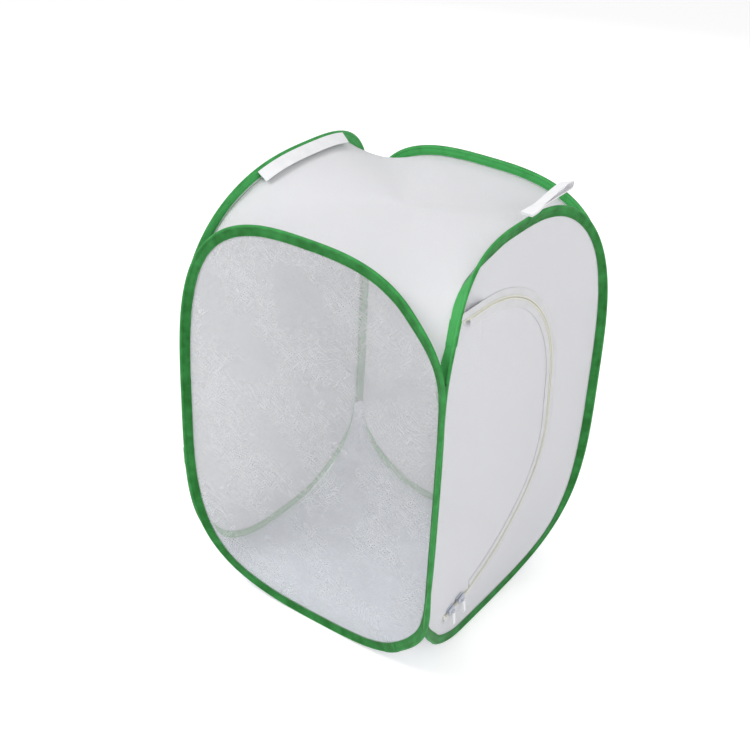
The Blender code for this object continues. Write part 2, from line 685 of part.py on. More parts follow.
def hung_cloth(node, top, color, roughness):
    """Roof or floor: a cloth hung from the four bindings and drawn down into the corners."""
    offset = LEG_OUTER + CLEARANCE + CLOTH_THICKNESS / 2
    mesh = bpy.data.meshes.new(node)
    work = bmesh.new()
    sides = []
    for name in ("window", "door", "back", "left"):
        spots = [
            station(PANELS[name], angle, LEG_END - CLOTH_THICKNESS, offset)
            for angle in rim_angles(top)
        ]
        sides.append([work.verts.new(spot) for spot in spots])
    rim = {vert for side in sides for vert in side}
    boundary = []
    for side, following in zip(sides, sides[1:] + sides[:1]):
        boundary += side[CORNER_NET_ROWS - 1:1 - CORNER_NET_ROWS]
        boundary.append(corner_net(work, side[::-1], following))
    middle = sum((vert.co for vert in boundary), Vector()) / len(boundary)
    hub = work.verts.new(middle)
    outer = boundary
    for share in (0.84, 0.62, 0.34):
        inner = [work.verts.new(middle.lerp(vert.co, share)) for vert in boundary]
        for index in range(len(outer)):
            after = (index + 1) % len(outer)
            work.faces.new((outer[index], outer[after], inner[after], inner[index]))
        outer = inner
    for index in range(len(outer)):
        work.faces.new((outer[index], outer[(index + 1) % len(outer)], hub))
    free = [vert for vert in work.verts if vert not in rim]
    for _ in range(SLACK_ROUNDS):
        bmesh.ops.smooth_vert(
            work, verts=free, factor=0.5, use_axis_x=True, use_axis_y=True, use_axis_z=True
        )
    bmesh.ops.triangulate(work, faces=work.faces)
    bmesh.ops.recalc_face_normals(work, faces=work.faces)
    work.to_mesh(mesh)
    work.free()
    finish_thickness(piece(node, mesh, color, roughness), CLOTH_THICKNESS)


def corner_net(work, near, far):
    """The net across one corner, from one binding to the next; gives its upper middle."""
    below = None
    for row in range(1, CORNER_NET_ROWS):
        middle = work.verts.new((near[row].co + far[row].co) / 2)
        if below is None:
            work.faces.new((near[0], far[0], middle))
            work.faces.new((near[0], middle, near[row]))
            work.faces.new((far[0], far[row], middle))
        else:
            work.faces.new((near[row - 1], below, middle, near[row]))
            work.faces.new((below, far[row - 1], far[row], middle))
        below = middle
    return below


def ribbon(name, edges, thickness):
    """Webbing: a strip between two matching edges, given its thickness."""
    mesh = loft(name, edges, closed_rings=False, closed_run=False)
    return finish_thickness(piece(name, mesh, WHITE, 0.7), thickness)


def angle_at(across):
    """The top arc's angle where its wire is at a share of the way across."""
    return math.acos(signed_power(across, WIRE_WIDTH_POWER_SHARE / 2))


def add_left_handle():
    """The left panel's handle: webbing along its top arc, leaning over the roof."""
    panel = PANELS["left"]
    near = FOLD_OUTER + CLEARANCE / 2 + STRAP_THICKNESS / 2 * math.cos(LEFT_STRAP_TILT)
    edges = [[], []]
    for index in range(LEFT_STRAP_POINTS):
        share = index / (LEFT_STRAP_POINTS - 1)
        u = LEFT_STRAP_START + (LEFT_STRAP_END - LEFT_STRAP_START) * share
        angle = angle_at(u / (HALF - CORNER_SHIFT))
        start = Vector((0.0, near))
        lean = Vector((math.cos(LEFT_STRAP_TILT), math.sin(LEFT_STRAP_TILT))) * STRAP_WIDTH
        for edge, spot in zip(edges, (start, start + lean)):
            edge.append(station(panel, angle, spot.x, spot.y))
    ribbon("left_handle", edges, STRAP_THICKNESS)


def door_strap_run():
    """The door handle's run as (u, z, free): sewn, up, along, round its bow and back."""
    panel = PANELS["door"]
    wire = wire_point(panel, angle_at(DOOR_STRAP_START / (HALF - CORNER_SHIFT)))
    sewn = wire.z + FOLD_OUTER + CLEARANCE + STRAP_THICKNESS / 2
    low = wire_point(panel, math.pi / 2).z + DOOR_STRAP_RISE
    stacked = STRAP_THICKNESS + CLEARANCE
    bow = DOOR_STRAP_TIP - DOOR_STRAP_BOW
    sewn_end = DOOR_STRAP_START + DOOR_STRAP_SEWN
    free_start = sewn_end + DOOR_STRAP_CLIMB
    upper = [(u, sewn + stacked, 0.0) for u in (DOOR_STRAP_START, sewn_end)]
    lower = [(u, sewn, 0.0) for u in (DOOR_STRAP_START, sewn_end)]
    for index in range(DOOR_STRAP_POINTS + 1):
        share = index / DOOR_STRAP_POINTS
        u = free_start + (DOOR_STRAP_OPEN - free_start) * share
        parted = stacked + (2 * DOOR_STRAP_BOW - stacked) * share
        upper.append((u, low + parted, 1.0))
        lower.append((u, low, 1.0))
    for index in range(DOOR_STRAP_POINTS + 1):
        turn = math.pi * index / DOOR_STRAP_POINTS
        u = bow + DOOR_STRAP_BOW * math.sin(turn)
        upper.append((u, low + DOOR_STRAP_BOW * (1 + math.cos(turn)), 1.0))
    return wire.y, upper + lower[::-1]


def add_door_handle():
    """The door panel's handle: a webbing loop sewn on top of its arc, tilted inwards."""
    middle, run = door_strap_run()
    edges = [[], []]
    for u, z, free in run:
        outer = Vector((u, middle - DOOR_STRAP_OVERHANG * (1 - free), z))
        tilt = DOOR_STRAP_TILT * free
        width = Vector((0.0, math.cos(tilt), -math.sin(tilt))) * STRAP_WIDTH
        edges[0].append(in_cage(PANELS["door"], outer))
        edges[1].append(in_cage(PANELS["door"], outer + width))
    ribbon("door_handle", edges, STRAP_THICKNESS)


def build():
    clear_scene()
    for name, panel in PANELS.items():
        add_wire(name, panel)
        add_sleeve(name, panel)
        add_binding(name, panel)
    add_panel_cloth("window_film", PANELS["window"], FILM, 0.15, 0.35)
    add_panel_cloth("back_net", PANELS["back"], WHITE, 0.85, 1.0)
    add_panel_cloth("left_net", PANELS["left"], WHITE, 0.85, 1.0)
    add_door_nets()
    add_zip()
    for name, angle in zip(("low", "high"), SLIDER_ANGLES):
        add_slider("zip_slider_" + name, angle)
        add_pull("pull_tab_" + name, angle)
    add_stops()
    hung_cloth("roof_net", True, WHITE, 0.85)
    hung_cloth("floor_cloth", False, WHITE, 0.8)
    add_left_handle()
    add_door_handle()


build()
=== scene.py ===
# Pop-up insect cage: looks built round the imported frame
import math

import bpy
from mathutils import Matrix, Vector, noise
from mathutils.kdtree import KDTree


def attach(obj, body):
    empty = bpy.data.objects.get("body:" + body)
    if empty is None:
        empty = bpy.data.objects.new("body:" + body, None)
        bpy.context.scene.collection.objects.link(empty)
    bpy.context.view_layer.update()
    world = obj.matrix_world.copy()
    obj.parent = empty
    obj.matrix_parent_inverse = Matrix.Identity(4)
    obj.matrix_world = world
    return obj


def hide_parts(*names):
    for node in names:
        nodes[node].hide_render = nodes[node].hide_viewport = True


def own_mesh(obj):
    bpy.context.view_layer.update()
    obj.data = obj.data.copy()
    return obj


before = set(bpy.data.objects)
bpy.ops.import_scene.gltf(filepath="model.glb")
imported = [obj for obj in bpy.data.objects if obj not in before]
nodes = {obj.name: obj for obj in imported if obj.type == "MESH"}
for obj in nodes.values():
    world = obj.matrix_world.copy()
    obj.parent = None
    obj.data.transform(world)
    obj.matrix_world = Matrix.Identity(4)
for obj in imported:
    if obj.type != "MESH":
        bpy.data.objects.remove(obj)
bpy.ops.object.select_all(action="DESELECT")
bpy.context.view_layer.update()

# the four wire loops, as the frame has them
cage = {
    "half": 0.2005, "height": 0.600,
    "widthPower": 2.81, "heightPower": 3.44,
    "cornerTwist": 45, "cornerPower": 8, "cornerShift": 0.00177,
    "armTurn": 80, "armRise": (100, 135), "armFall": (150, 168),
    "foot": 0.0022, "cadStep": 9, "spreadShare": 0.45, "nearby": 0.09,
    "liftRise": (0.30, 0.72), "liftFall": (0.80, 0.99),
}
panels = {
    "window": {"turn": 0, "topLean": 0.0048, "bottomLean": 0.0394, "rise": -0.0065},
    "door": {"turn": 90, "topLean": 0.0330, "bottomLean": 0.0372, "rise": -0.0006},
    "back": {"turn": 180, "topLean": 0.0036, "bottomLean": 0.0262, "rise": -0.0223,
             "spreadSide": 1},
    "left": {"turn": 270, "topLean": 0.0418, "bottomLean": 0.0048, "rise": 0.0147,
             "spreadSide": -1},
}

# the front and far corners, where two bands are drawn together between these heights
farCorner = {"low": (0.010, 0.125), "high": (0.300, 0.600), "along": 0.0, "inward": 0.0,
             "lift": 0.0}
seam = {
    "window": {"side": 1, "low": (0.045, 0.165), "high": (0.435, 0.550), "along": 0.0003,
               "inward": -0.0005, "lift": 0.0},
    "door": {"side": -1, "low": (0.050, 0.170), "high": (0.400, 0.520), "along": 0.0004,
             "inward": 0.0031, "lift": 0.0085},
    "back": {"side": 1, **farCorner},
    "left": {"side": -1, **farCorner},
}


# small helpers


def signedPower(value, power):
    return math.copysign(abs(value) ** power, value)


def acrossAndUp(angle):
    across = signedPower(math.cos(angle), 2 / cage["widthPower"])
    return across, signedPower(math.sin(angle), 2 / cage["heightPower"])


def lowestUp():
    return acrossAndUp(-math.pi / 2 + math.radians(cage["cadStep"]) / 2)[1]


def eased(value, span):
    share = min(max((value - span[0]) / (span[1] - span[0]), 0), 1)
    return share ** 2 * (3 - 2 * share)


def between(value, rise, fall):
    # 1 between two spans, and eased down to 0 through each of them
    return eased(value, rise) * (1 - eased(value, fall))


def wirePoint(panel, angle):
    across, up = acrossAndUp(angle)
    rise = math.sin(angle)
    lean = panel["topLean"] if rise > 0 else panel["bottomLean"]
    corner = abs(across) ** cage["cornerPower"]
    tall = cage["height"] - 2 * cage["foot"]
    spot = Vector((
        across * (cage["half"] - cage["cornerShift"]),
        lean * rise ** 2 - cage["cornerShift"] * corner,
        cage["foot"] + tall * (up - lowestUp()) / 2 + panel["rise"] * max(rise, 0) ** 2,
    ))
    drawn = panel.get("seam")
    if drawn and across * drawn["side"] > 0:
        full = cage["half"] - cage["cornerShift"]
        pull = between(spot.z, drawn["low"], drawn["high"])
        reach = abs(spot.x) + (full - abs(spot.x)) * pull + drawn["along"] * corner
        if rise < 0:
            away = abs(spot.x) / full
            spot.z += drawn["lift"] * between(away, cage["liftRise"], cage["liftFall"])
        spot.x = drawn["side"] * reach
        spot.y += drawn["inward"] * corner
    return spot


def sectionAxes(panel, angle):
    # across the tape towards the cloth, and its face's normal into the cage
    near = math.radians(cage["nearby"])
    along = (wirePoint(panel, angle + near) - wirePoint(panel, angle - near)).normalized()
    flat = Vector((-along.z, 0, along.x)).normalized()
    across = acrossAndUp(angle)[0]
    corner = abs(across) ** cage["cornerPower"]
    twist = math.radians(cage["cornerTwist"]) * corner
    if across * panel.get("spreadSide", 0) > 0:
        twist *= cage["spreadShare"]
    if panel["turn"] == panels["door"]["turn"]:
        degrees = math.degrees(angle)
        pulled = between(degrees, cage["armRise"], cage["armFall"])
        twist += (math.radians(cage["armTurn"]) - twist) * pulled
    toCloth = flat * math.cos(twist) + Vector((0, 1, 0)) * math.sin(twist)
    toCloth = (toCloth - along * toCloth.dot(along)).normalized()
    return toCloth, toCloth.cross(along)


def inCage(panel, point):
    moved = Vector((point.x, point.y - cage["half"], point.z))
    return Matrix.Rotation(math.radians(panel["turn"]), 3, "Z") @ moved


def station(panel, angle, reach, offset=0):
    toCloth, normal = sectionAxes(panel, angle)
    return inCage(panel, wirePoint(panel, angle) + toCloth * reach + normal * offset)


def evenAngles(panel, count=4000):
    # angles round a loop against the length of wire up to them
    table = [(0.0, -math.pi / 2)]
    last = wirePoint(panel, -math.pi / 2)
    for index in range(1, count + 1):
        angle = -math.pi / 2 + 2 * math.pi * index / count
        here = wirePoint(panel, angle)
        table.append((table[-1][0] + (here - last).length, angle))
        last = here
    return table


for name, panel in panels.items():
    panel["seam"] = seam.get(name)
    panel["table"] = evenAngles(panel)
    panel["length"] = panel["table"][-1][0]


def angleAt(panel, share):
    # the angle at a share of the way round the wire, from the middle of the bottom
    table = panel["table"]
    wanted = (share % 1) * panel["length"]
    low, high = 0, len(table) - 1
    while high - low > 1:
        middle = (low + high) // 2
        if table[middle][0] <= wanted:
            low = middle
        else:
            high = middle
    span = table[high][0] - table[low][0]
    part = (wanted - table[low][0]) / span if span else 0
    return table[low][1] + (table[high][1] - table[low][1]) * part


def grid(name, columns, rows, place, flat=(1, 1)):
    # a primitive grid whose points are put in place, with its UV map in metres
    bpy.ops.mesh.primitive_grid_add(x_subdivisions=columns, y_subdivisions=rows, size=1)
    piece = bpy.context.object
    piece.name = name
    piece.data.name = name
    for vertex in piece.data.vertices:
        vertex.co = place(vertex.co.x + 0.5, vertex.co.y + 0.5)
    for corner in piece.data.uv_layers.active.data:
        corner.uv = (corner.uv[0] * flat[0], corner.uv[1] * flat[1])
    weld(piece)
    return piece


def pick(piece):
    # the only selected piece, and the active one
    bpy.ops.object.select_all(action="DESELECT")
    piece.select_set(True)
    bpy.context.view_layer.objects.active = piece


def weld(piece, distance=0.00001, normals=True):
    pick(piece)
    bpy.ops.object.mode_set(mode="EDIT")
    bpy.ops.mesh.select_all(action="SELECT")
    bpy.ops.mesh.remove_doubles(threshold=distance)
    if normals:
        bpy.ops.mesh.normals_make_consistent(inside=False)
    bpy.ops.object.mode_set(mode="OBJECT")
    piece.select_set(False)


def applied(piece, kind, **settings):
    # adds a modifier and applies it
    modifier = piece.modifiers.new(kind.lower(), kind)
    for key, value in settings.items():
        setattr(modifier, key, value)
    pick(piece)
    bpy.ops.object.modifier_apply(modifier=modifier.name)
    piece.select_set(False)
    return piece


def smooth(piece, degrees):
    pick(piece)
    bpy.ops.object.shade_smooth_by_angle(angle=math.radians(degrees))
    piece.select_set(False)
    return piece


def thickened(piece, thickness, degrees=50, **settings):
    applied(piece, "SOLIDIFY", thickness=thickness, offset=0.0, **settings)
    return smooth(piece, degrees)


def planarUv(piece, first, second):
    mesh = piece.data
    layer = mesh.uv_layers.active or mesh.uv_layers.new(name="UVMap")
    for loop in mesh.loops:
        spot = mesh.vertices[loop.vertex_index].co
        layer.data[loop.index].uv = (spot[first], spot[second])


def placed(name, data):
    item = bpy.data.objects.new(name, data)
    bpy.context.scene.collection.objects.link(item)
    return item


def finish(piece, material, body, *replaced):
    piece.data.materials.clear()
    piece.data.materials.append(material)
    if replaced:
        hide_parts(*replaced)
    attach(piece, body)
    return piece


# materials

# the tape's pale colour is painted light over its own uneven tone: a highlight along the fold and
# light on the leg inside the cage
tape = {
    "color": (0.008, 0.135, 0.016), "paintedLightAndTone": (0.055, 0.360, 0.088), "width": 0.030,
    "threads": 1100.0, "weft": 0.8, "weaveHeight": 0.25, "puckers": 130.0, "cloud": (1.2, -0.42),
    "foldSpan": (0.0015, 0.0070), "foldHighlight": 0.32, "insideSpan": (0.34, 0.45), "insidePaintedLight": 0.85,
}
netting = {"pitch": 0.0008, "thread": 0.72, "slant": 0.6, "steep": 4.0}
film = {
    "color": (0.90, 0.91, 0.935), "crease": (0.94, 0.945, 0.96), "creaseAlpha": 0.055,
    "clear": 0.20, "hazy": 0.24, "haze": 11.0, "hazeSpan": (0.35, 0.65),
    "bend": 9.0, "bendBy": 0.06, "patches": 16.0, "patchSpan": (0.30, 0.70), "patchLow": 0.75,
    "pullSpan": (0.04, 0.20), "pullMost": 0.8, "pullHeight": 3.0,
}
# per set of creases: its scale, turn, stretch and how thin its lines are
creases = {"strokes": 32.0, "rising": (28, 10.0, 12.0), "falling": (-52, 8.0, 14.0),
           "pulls": 11.0, "level": (-6, 15.0, 14.0)}


def makeMaterial(name, color, roughness, space="UV", **sockets):
    # a material, its node tree and the place that its textures read
    material = bpy.data.materials.new(name)
    material.use_nodes = True
    shader = material.node_tree.nodes["Principled BSDF"]
    shader.inputs["Base Color"].default_value = (*color, 1)
    shader.inputs["Roughness"].default_value = roughness
    for socket, value in sockets.items():
        shader.inputs[socket.replace("_", " ")].default_value = value
    tree = material.node_tree
    return material, tree, add(tree, "ShaderNodeTexCoord").outputs[space]


def feed(tree, value, socket):
    tree.links.new(value, tree.nodes["Principled BSDF"].inputs[socket])


def add(tree, kind, settings=None, inputs=None):
    node = tree.nodes.new(kind)
    for key, value in (settings or {}).items():
        setattr(node, key, value)
    for key, value in (inputs or {}).items():
        if isinstance(value, bpy.types.NodeSocket):
            tree.links.new(value, node.inputs[key])
        else:
            node.inputs[key].default_value = value
    return node


def mathNode(tree, operation, *values):
    inputs = dict(enumerate(values))
    return add(tree, "ShaderNodeMath", {"operation": operation}, inputs).outputs[0]


def vectorNode(tree, operation, inputs):
    return add(tree, "ShaderNodeVectorMath", {"operation": operation}, inputs).outputs[0]


def noiseNode(tree, vector, scale, detail=2.0, output=0):
    inputs = {"Vector": vector, "Scale": scale, "Detail": detail}
    return add(tree, "ShaderNodeTexNoise", None, inputs).outputs[output]


def remap(tree, value, span=(0.0, 1.0), onto=(0.0, 1.0), kind="LINEAR"):
    inputs = {"Value": value, "From Min": span[0], "From Max": span[1],
              "To Min": onto[0], "To Max": onto[1]}
    return add(tree, "ShaderNodeMapRange", {"interpolation_type": kind}, inputs).outputs[0]


def newGroup(name, inputs, outputs):
    # a node group that takes a vector and the named numbers
    tree = bpy.data.node_groups.new(name, "ShaderNodeTree")
    tree.interface.new_socket("Vector", in_out="INPUT", socket_type="NodeSocketVector")
    for label, value in inputs.items():
        socket = tree.interface.new_socket(label, in_out="INPUT", socket_type="NodeSocketFloat")
        socket.default_value = value
    for label in outputs:
        tree.interface.new_socket(label, in_out="OUTPUT", socket_type="NodeSocketFloat")
    return tree, tree.nodes.new("NodeGroupInput").outputs, tree.nodes.new("NodeGroupOutput").inputs


def wave(tree, value, turns):
    return mathNode(tree, "SINE", mathNode(tree, "MULTIPLY", value, turns))


def weaveGroup():
    # plain weave: threads per metre along and across, as a height from 0 to 1
    tree, given, out = newGroup("plainWeave", {"Along": 900.0, "Across": 900.0}, ("Height", "Tone"))
    parts = add(tree, "ShaderNodeSeparateXYZ", inputs={0: given["Vector"]}).outputs
    first = wave(tree, parts[0], mathNode(tree, "MULTIPLY", given["Along"], 2 * math.pi))
    second = wave(tree, parts[1], mathNode(tree, "MULTIPLY", given["Across"], 2 * math.pi))
    height = mathNode(tree, "MULTIPLY_ADD", mathNode(tree, "MULTIPLY", first, second), 0.5, 0.5)
    tree.links.new(height, out["Height"])
    tree.links.new(noiseNode(tree, given["Vector"], 60.0), out["Tone"])
    return tree


def netGroup():
    # knitted net: two sets of slanting threads with holes between them
    tree, given, out = newGroup("knittedNet", {"Pitch": 0.0011, "Thread": 0.5}, ("Mask", "Height"))
    parts = add(tree, "ShaderNodeSeparateXYZ", inputs={0: given["Vector"]}).outputs
    turns = mathNode(tree, "DIVIDE", math.pi, given["Pitch"])
    slants = []
    for slant in (netting["slant"], -netting["slant"]):
        mixed = mathNode(tree, "MULTIPLY_ADD", parts[1], slant, parts[0])
        slants.append(mathNode(tree, "ABSOLUTE", wave(tree, mixed, turns)))
    height = mathNode(tree, "MAXIMUM", *slants)
    over = mathNode(tree, "SUBTRACT", height, given["Thread"])
    mask = mathNode(tree, "MULTIPLY", over, netting["steep"])
    mask.node.use_clamp = True
    tree.links.new(mask, out["Mask"])
    tree.links.new(height, out["Height"])
    return tree


def crinkleGroup():
    # creases of a film that has been folded: short fine strokes and long level pulls
    tree, given, out = newGroup("filmCrinkle", {"Scale": 60.0, "Pulls": 7.0},
                                ("Crease", "Height", "Haze"))
    flat = given["Vector"]
    bent = noiseNode(tree, flat, film["bend"], output="Color")
    nudge = vectorNode(tree, "SCALE", {0: bent, "Scale": film["bendBy"]})
    warped = vectorNode(tree, "ADD", {0: flat, 1: nudge})

    def strokes(turn, stretch, thin, scale):
        turned = add(tree, "ShaderNodeVectorRotate", {"rotation_type": "Z_AXIS"},
                     {"Vector": warped, "Angle": math.radians(turn)})
        drawn = vectorNode(tree, "MULTIPLY", {0: turned.outputs[0], 1: (1.0, stretch, 1.0)})
        cloud = noiseNode(tree, drawn, scale, 1.0)
        off = mathNode(tree, "ABSOLUTE", mathNode(tree, "SUBTRACT", cloud, 0.5))
        line = mathNode(tree, "MULTIPLY_ADD", off, -thin, 1.0)
        line.node.use_clamp = True
        return line

    fine = mathNode(tree, "MAXIMUM", strokes(*creases["rising"], given["Scale"]),
                    strokes(*creases["falling"], given["Scale"]))
    patch = noiseNode(tree, flat, film["patches"], 3.0)
    kept = remap(tree, patch, film["patchSpan"], (film["patchLow"], 1.0))
    fine = mathNode(tree, "MULTIPLY", fine, kept)
    pulls = strokes(*creases["level"], given["Pulls"])
    side = add(tree, "ShaderNodeSeparateXYZ", inputs={0: flat}).outputs[0]
    near = remap(tree, side, film["pullSpan"], (0.0, film["pullMost"]))
    pulls = mathNode(tree, "MULTIPLY", pulls, near)
    tree.links.new(mathNode(tree, "MAXIMUM", fine, pulls), out["Crease"])
    height = mathNode(tree, "MULTIPLY_ADD", pulls, film["pullHeight"], fine)
    tree.links.new(height, out["Height"])
    tree.links.new(noiseNode(tree, flat, film["haze"], 5.0), out["Haze"])
    return tree


groups = {"weave": weaveGroup(), "net": netGroup(), "crinkle": crinkleGroup()}


def placeGroup(tree, group, **inputs):
    return add(tree, "ShaderNodeGroup", {"node_tree": groups[group]}, inputs).outputs


def bump(tree, height, strength, distance):
    node = add(tree, "ShaderNodeBump", None,
               {"Height": height, "Strength": strength, "Distance": distance})
    feed(tree, node.outputs[0], "Normal")


def blendColors(tree, factor, first, second, span=(0.0, 1.0)):
    # the mix node's inputs 6 and 7 and its output 2 are colours
    mix = add(tree, "ShaderNodeMix", {"data_type": "RGBA"},
              {0: remap(tree, factor, span), 6: (*first, 1), 7: (*second, 1)})
    feed(tree, mix.outputs[2], "Base Color")


def tapeMaterial():
    # paler over the wire, a painted highlight along the fold, and on the leg that lies inside the
    # cage, painted light; the weave's cloud adds the tape's own uneven tone
    material, tree, uv = makeMaterial(
        "bindingTape", tape["color"], roughness=0.62, Sheen_Weight=0.04, Sheen_Roughness=0.4,
        Specular_IOR_Level=0.25)
    weave = placeGroup(tree, "weave", Vector=uv, Along=tape["threads"],
                       Across=tape["threads"] * tape["weft"])
    over = add(tree, "ShaderNodeSeparateXYZ", inputs={0: uv}).outputs[1]
    # painted highlight along the fold over the wire, added to the tape's uneven tone
    fromFold = mathNode(tree, "ABSOLUTE", mathNode(tree, "SUBTRACT", over, tape["width"] / 2))
    fold = remap(tree, fromFold, tape["foldSpan"], (1.0, 0.0), "SMOOTHSTEP")
    cloud = mathNode(tree, "MULTIPLY_ADD", weave["Tone"], *tape["cloud"])
    paintedLightAndTone = mathNode(tree, "MULTIPLY_ADD", fold, tape["foldHighlight"], cloud)
    # painted light on the leg that lies inside the cage
    legSpan = [tape["width"] * share for share in tape["insideSpan"]]
    inside = remap(tree, over, legSpan, (1.0, 0.0), "SMOOTHSTEP")
    paintedLightAndTone = mathNode(tree, "MULTIPLY_ADD", inside, tape["insidePaintedLight"], paintedLightAndTone)
    blendColors(tree, paintedLightAndTone, tape["color"], tape["paintedLightAndTone"])
    pucker = noiseNode(tree, uv, tape["puckers"])
    height = mathNode(tree, "MULTIPLY_ADD", weave["Height"], tape["weaveHeight"], pucker)
    bump(tree, height, strength=0.7, distance=0.0005)
    return material


def netMaterial(name, color, hole):
    material, tree, uv = makeMaterial(name, color, roughness=0.8, Sheen_Weight=0.1)
    net = placeGroup(tree, "net", Vector=uv, Pitch=netting["pitch"], Thread=netting["thread"])
    feed(tree, remap(tree, net["Mask"], onto=(hole, 1.0)), "Alpha")
    bump(tree, net["Height"], strength=0.25, distance=0.0002)
    return material


def filmMaterial():
    material, tree, uv = makeMaterial("clearFilm", film["color"], roughness=0.30,
                                      Specular_IOR_Level=0.5)
    crinkle = placeGroup(tree, "crinkle", Vector=uv, Scale=creases["strokes"],
                         Pulls=creases["pulls"])
    bump(tree, crinkle["Height"], strength=0.18, distance=0.0005)
    blendColors(tree, crinkle["Crease"], film["color"], film["crease"])
    haze = remap(tree, crinkle["Haze"], film["hazeSpan"], (film["clear"], film["hazy"]))
    alpha = mathNode(tree, "MULTIPLY_ADD", crinkle["Crease"], film["creaseAlpha"], haze)
    feed(tree, alpha, "Alpha")
    return material


def clothMaterial(name, color, threads):
    material, tree, uv = makeMaterial(name, color, roughness=0.7)
    weave = placeGroup(tree, "weave", Vector=uv, Along=threads, Across=threads)
    darker = [part * 0.93 for part in color]
    blendColors(tree, weave["Tone"], color, darker, span=(0.35, 0.7))
    bump(tree, weave["Height"], strength=0.3, distance=0.0002)
    return material


def steelMaterial():
    material, tree, spot = makeMaterial("springSteel", (0.42, 0.42, 0.43), roughness=0.32,
                                        space="Object", Metallic=1.0)
    cloud = noiseNode(tree, spot, 220.0, 4.0)
    feed(tree, remap(tree, cloud, onto=(0.22, 0.45)), "Roughness")
    bump(tree, cloud, strength=0.05, distance=0.0002)
    return material


def plasticMaterial(name, color):
    material, tree, spot = makeMaterial(name, color, roughness=0.45, space="Object")
    bump(tree, noiseNode(tree, spot, 500.0), strength=0.1, distance=0.0001)
    return material


tapeGreen = tapeMaterial()
# dark green thread for the stitches; on the corner seams it is painted shade in their grooves
threadAndSeamShade = clothMaterial("bindingThreadAndSeamShade", (0.006, 0.085, 0.011), threads=2500.0)
farGreen = clothMaterial("farSeamTape", (0.030, 0.260, 0.085), threads=2500.0)
# one net in two copies: the sides painted a little paler and the roof a little darker, painted
# light and shade that even out the lamps
sideNet = netMaterial("sideNet", (0.77, 0.77, 0.80), hole=0.50)
roofNet = netMaterial("roofNet", (0.75, 0.75, 0.775), hole=0.50)
clearFilm = filmMaterial()
floorCloth = clothMaterial("floorCloth", (0.74, 0.78, 0.87), threads=900.0)
webbing = clothMaterial("webbing", (0.82, 0.82, 0.84), threads=700.0)
zipTape = clothMaterial("zipTape", (0.655, 0.655, 0.675), threads=1300.0)
zipChain = plasticMaterial("zipChain", (0.74, 0.73, 0.65))
steel = steelMaterial()
pullWhite = plasticMaterial("pullTab", (0.84, 0.84, 0.86))
sliderGrey = plasticMaterial("sliderGrey", (0.50, 0.53, 0.60))
print("materials made")


# the green binding, folded round each wire

binding = {
    "around": 360, "ridge": 0.00222, "leg": 0.0008, "end": 0.0113, "thick": 0.0005,
    "wire": 0.001, "puff": 0.00035, "stitchReach": 0.0088, "stitchProud": 0.00005,
    "waverFrom": 0.005, "waver": 0.00035, "ripple": 0.00012, "lapOut": 0.00062,
    "armFrom": 0.003, "armExtra": 0.0042, "armRise": (108, 138), "armFall": (152, 166),
}
stitches = {"count": 420, "size": (0.00125, 0.00030, 0.00026), "pitch": 0.0036}


def tapeProfile():
    # the tape's middle line as (reach, offset), from one open edge round the wire to the other
    ridge, leg, end = binding["ridge"], binding["leg"], binding["end"]
    side = [(end, leg + 0.00012), (0.0101, leg), (binding["stitchReach"], leg - 0.00004),
            (0.0074, leg + 0.0002), (0.0058, leg + binding["puff"]),
            (0.0042, leg + binding["puff"] + 0.0001), (0.0029, leg + 0.00045)]
    for degrees in (38, 62, 86, 110, 134, 157):
        turn = math.radians(degrees)
        side.append((ridge * math.cos(turn), ridge * math.sin(turn)))
    return side + [(-ridge, 0)] + [(reach, -offset) for reach, offset in reversed(side)]


def tapePlace(panel, first=0.0, last=1.0, outward=0.0, seed=0):
    profile = tapeProfile()

    def place(along, across):
        share = first + (last - first) * along
        angle = angleAt(panel, share)
        spot = across * (len(profile) - 1)
        index = min(int(spot + 0.0001), len(profile) - 1)
        reach, offset = profile[index]
        turn = 2 * math.pi * share
        wander = noise.noise(Vector((math.cos(turn) * 9, math.sin(turn) * 9, seed + 3.1)))
        ripple = noise.noise(Vector((math.cos(turn) * 31, math.sin(turn) * 31, seed + 7.7)))
        waverFrom, armFrom = binding["waverFrom"], binding["armFrom"]
        if reach > waverFrom:
            reach += binding["waver"] * wander * (reach - waverFrom) / (binding["end"] - waverFrom)
            offset += math.copysign(binding["ripple"] * ripple, offset)
        if panel["turn"] == panels["door"]["turn"] and reach > armFrom:
            arm = between(math.degrees(angle) % 360, binding["armRise"], binding["armFall"])
            reach += (reach - armFrom) / (binding["end"] - armFrom) * binding["armExtra"] * arm
        if outward:
            away = Vector((reach if reach < 0 else 0, offset)).normalized()
            reach += away.x * outward
            offset += away.y * outward
        return station(panel, angle, reach, offset)

    return place, len(profile) - 1


def redrawn(path, spots, closed):
    # a primitive curve, drawn again as straight chords
    path.data.splines.clear()
    spline = path.data.splines.new("POLY")
    spline.points.add(len(spots) - 1)
    spline.use_cyclic_u = closed
    for point, spot in zip(spline.points, spots):
        point.co = (*spot, 1)
    return path


def resized(name, size):
    # the primitive that was just added, at its real size
    piece = bpy.context.object
    piece.name = name
    bpy.ops.transform.resize(value=size)
    bpy.ops.object.transform_apply(location=False, rotation=False, scale=True)
    return piece


def copiedAlong(piece, path, count, pitch, start=0.0):
    # a row of copies, bent along a path that is then removed
    applied(piece, "ARRAY", count=count, use_relative_offset=False, use_constant_offset=True,
            constant_offset_displace=(pitch, 0, 0))
    for vertex in piece.data.vertices:
        vertex.co.x += start
    applied(piece, "CURVE", object=path, deform_axis="POS_X")
    bpy.data.objects.remove(path, do_unlink=True)


